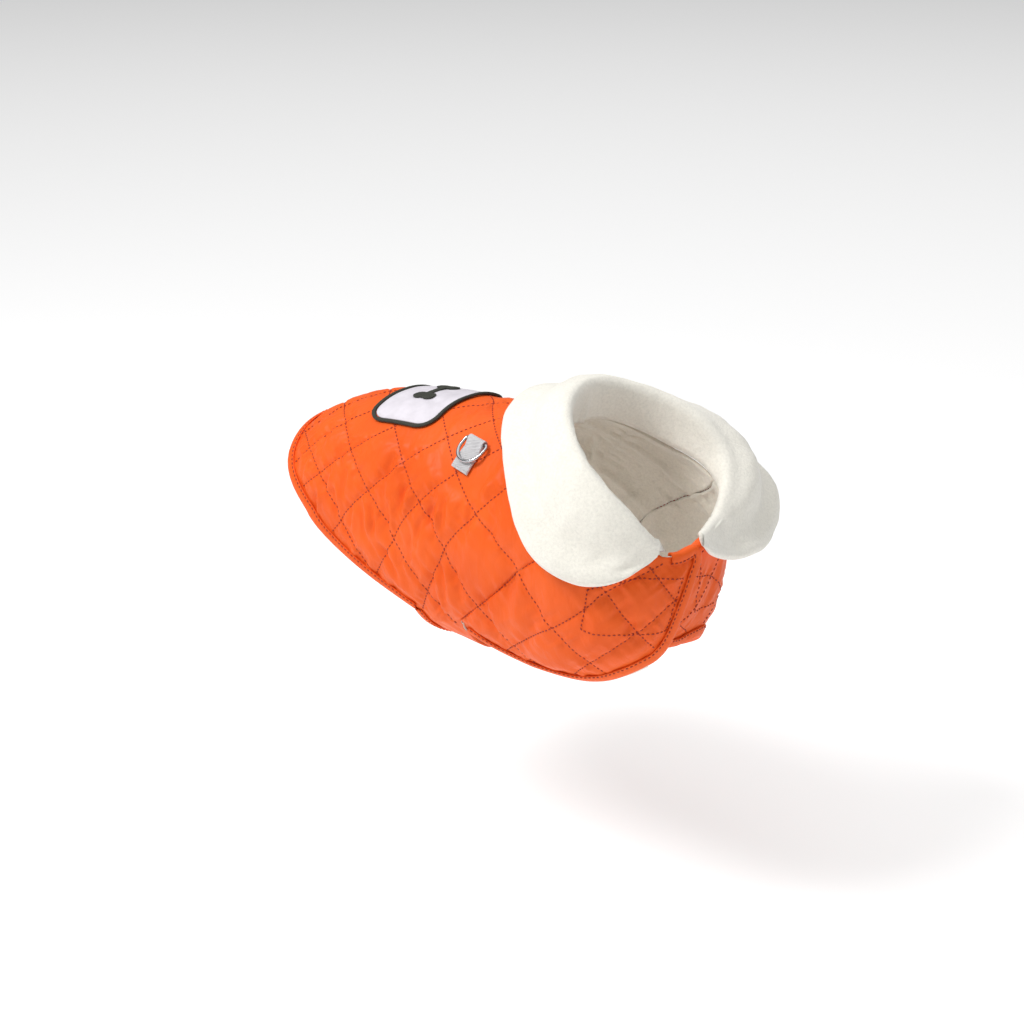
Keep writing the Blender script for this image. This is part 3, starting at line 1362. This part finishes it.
hem_inner = ring_outline(
    [seam_right, neck_back, mirrored(seam_right)[::-1], mirrored(strap_right)[::-1], hem_all, strap_right],
    [0.3, 0.3, 0.3, 2.0, 5.8, 2.0],
)
back_rows = []
for side in (-1, 1):
    back_rows += quilt_runs(LINES_DOWN_FORWARD, range(-1, 7), (0, 8), side, hem_inner, back_height)
    back_rows += quilt_runs(LINES_DOWN_BACK, range(1, 8), (-1, 6), side, hem_inner, back_height)
    seam_run = seam_right[2:-1] * (1, -side)
    seam_run = resampled(seam_run, 1.5)
    back_rows.append(place(seam_run[:, 0], seam_run[:, 1], np.full(len(seam_run), 0.12)))
stitches("back_stitches", back_rows, red_thread)

flap_rows = []
for side, runs, edge, neck, level, tucked, rows in (
    (-1, [seam_right[::-1], flap_edge_right, neck_front], flap_edge_right, neck_front, flat_level, 0, (1, 7)),
    (1, [mirrored(neck_front)[::-1], flap_edge_left, mirrored(seam_right)], flap_edge_left,
     mirrored(neck_front), under_level, 1, (1, 8)),
):
    insets = [0.3, 5.8, 0.3]
    inner = ring_outline(runs, insets)
    height = flap_height(edge, neck, level, tucked)
    flap_rows += quilt_runs(LINES_DOWN_FORWARD, range(*rows), (7, 12.5), side, inner, height)
    flap_rows += quilt_runs(LINES_DOWN_BACK, range(9, 13), (0.5, 7), side, inner, height)

# Corners of the stitched rectangles of tape on the two flaps.
TAPE_OVER = [
    (92, -104), (86, -122), (124, -120), (143, -117),
    (148, -105), (152, -88), (123, -93), (92, -104),
]
TAPE_UNDER = [(163, 84), (164, 98), (161, 112), (158, 116), (146, 119), (134, 121)]
right_height = flap_height(flap_edge_right, neck_front, flat_level, 0)
left_height = flap_height(flap_edge_left, mirrored(neck_front), under_level, 1)
for corners, height in ((TAPE_OVER, right_height), (TAPE_UNDER, left_height)):
    run = resampled(corners, 1.5)
    flap_rows.append(place(run[:, 0], run[:, 1], height(run) + 0.15))
stitches("chest_stitches", flap_rows, red_thread)


def binding_seam(run, level):
    run = resampled(run, 1.5)
    levels = level(run)
    shifted = inset(run, 4.5)
    tops = levels + BINDING_EASE["top"] + np.abs(levels) * 0.06 + BINDING_CLOTH - 0.1
    return place(shifted[:, 0], shifted[:, 1], tops)


binding_rows_all = [
    binding_seam(hem_all, flat_level),
    binding_seam(flap_edge_right[:-2], flat_level),
    binding_seam(flap_edge_left[2:], under_level),
]
for side in (-1, 1):
    run = strap_run(side)
    binding_rows_all.append(binding_seam(run[run[:, 0] < STRAP_FRONT - 8], strap_level(side)))
stitches("binding_stitches", binding_rows_all, red_thread)

tab_rows = []
for down in (4.0, 10.4):
    across = np.linspace(-TAB["half"] + 1, TAB["half"] - 1, 12)
    tab_rows.append(tab_point(across, np.full(12, down), np.full(12, TAB["low"] + 2 * TAB["web"] + 0.05)))
stitches("tab_stitches", tab_rows, grey_thread, {"pitch": 2.0, "length": 1.4, "radius": 0.2})


# Floor and light
# A plain white floor below the coat, a soft key light from the upper left, a wide light
# overhead, a weak fill from the right and a dim even surround.

FLOOR = -0.30
floor = bpy.data.objects.new("floor", bpy.data.meshes.new("floor"))
floor.data.from_pydata(
    [(x * 9, y * 9, FLOOR) for x, y in ((-1, -1), (1, -1), (1, 1), (-1, 1))], [], [(0, 1, 2, 3)],
)
bpy.context.collection.objects.link(floor)
pale = bpy.data.materials.new("pale_floor")
pale.use_nodes = True
pale.node_tree.nodes["Principled BSDF"].inputs["Base Color"].default_value = (0.92, 0.92, 0.92, 1)
pale.node_tree.nodes["Principled BSDF"].inputs["Roughness"].default_value = 0.9
pale.node_tree.nodes["Principled BSDF"].inputs["Emission Color"].default_value = (1, 1, 1, 1)
pale.node_tree.nodes["Principled BSDF"].inputs["Emission Strength"].default_value = 0.3
floor.data.materials.append(pale)

world = bpy.data.worlds.new("studio")
world.use_nodes = True
world.node_tree.nodes["Background"].inputs["Color"].default_value = (1, 1, 1, 1)
world.node_tree.nodes["Background"].inputs["Strength"].default_value = 0.2
bpy.context.scene.world = world


def soft_light(name, turn, rise, distance, size, power):
    data = bpy.data.lights.new(name, "AREA")
    data.shape = "SQUARE"
    data.size = size
    data.energy = power
    light = bpy.data.objects.new(name, data)
    turn, rise = math.radians(turn), math.radians(rise)
    away = Vector((math.sin(turn) * math.cos(rise), -math.cos(turn) * math.cos(rise), math.sin(rise)))
    light.location = VIEW_TARGET + away * distance
    light.rotation_euler = away.to_track_quat("Z", "Y").to_euler()
    bpy.context.collection.objects.link(light)


soft_light("key", -26, 50, 1.5, 0.45, 13.5)
soft_light("overhead", 0, 90, 4, 7, 160)
soft_light("fill", 75, 25, 1.6, 1.2, 1.0)
bpy.context.scene.view_settings.view_transform = "Standard"
